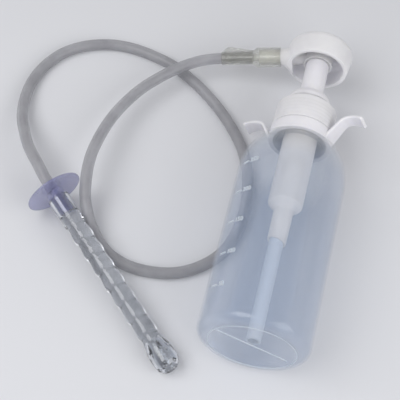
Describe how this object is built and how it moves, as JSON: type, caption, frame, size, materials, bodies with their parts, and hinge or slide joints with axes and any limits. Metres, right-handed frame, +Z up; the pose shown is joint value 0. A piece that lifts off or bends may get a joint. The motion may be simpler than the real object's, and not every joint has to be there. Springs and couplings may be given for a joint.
{
  "type": "vaginal douche",
  "caption": "Plunger pump on a translucent bottle lying on its side, with finger wings, side spout, clear connector, flexible hose, round splash guard and wave-shaped nozzle.",
  "frame": {"origin": "centre of the object's footprint without its hose, on the surface it lies on", "axes": "+Y along the bottle from its foot to the pump head, +X to the right of the bottle, +Z up; the hose lies on the -X side"},
  "size_m": [0.2063, 0.221, 0.062],
  "materials": {
    "bottle_pe": "blown translucent polyethylene, satin",
    "white_pp": "moulded white polypropylene, semi-gloss",
    "natural_pp": "moulded natural polypropylene, translucent",
    "seal_rubber": "soft foam seal",
    "clear_pvc": "clear soft vinyl, slightly yellow-green",
    "hose_pvc": "translucent soft vinyl hose",
    "violet_ps": "transparent violet-blue polystyrene, polished",
    "clear_ps": "clear polystyrene, polished",
    "spring_steel": "drawn stainless wire",
    "ball_glass": "ground glass ball"
  },
  "bodies": {
    "container": {"bottle": "bottle_pe"},
    "grip": {"finger_grip": "white_pp"},
    "pump": {"pump_cylinder": "natural_pp", "neck_gasket": "seal_rubber", "lock_collar": "white_pp", "ball_cage": "white_pp", "dip_tube": "natural_pp", "return_spring": "spring_steel", "hose": "hose_pvc", "splash_guard": "violet_ps", "nozzle": "clear_ps"},
    "cap": {"screw_cap": "white_pp"},
    "plunger": {"stem": "white_pp", "piston": "natural_pp", "valve_seat": "white_pp", "pump_head": "white_pp", "hose_connector": "clear_pvc"},
    "inlet_valve": {"inlet_ball": "ball_glass"},
    "outlet_valve": {"outlet_ball": "ball_glass"}
  },
  "joints": [
    {"name": "grip_turn", "type": "hinge", "parent": "container", "child": "grip", "pos_m": [0.05275, 0.0556, 0.031], "axis": [0, 1, 0], "range_deg": [0, 56]},
    {"name": "pump_lift", "type": "slide", "parent": "container", "child": "pump", "axis": [0, 1, 0], "range_m": [0, 0.152]},
    {"name": "cap_turn", "type": "hinge", "parent": "pump", "child": "cap", "pos_m": [0.05275, 0.0556, 0.031], "axis": [0, 1, 0], "continuous": true},
    {"name": "pump_press", "type": "slide", "parent": "pump", "child": "plunger", "axis": [0, -1, 0], "range_m": [0, 0.018], "stiffness_N_per_m": 400, "springref_m": -0.015, "deforming": ["return_spring", "hose"]},
    {"name": "inlet_lift", "type": "slide", "parent": "pump", "child": "inlet_valve", "axis": [0, 1, 0], "range_m": [0, 0.0008]},
    {"name": "outlet_lift", "type": "slide", "parent": "plunger", "child": "outlet_valve", "axis": [0, 1, 0], "range_m": [0, 0.0015]}
  ]
}
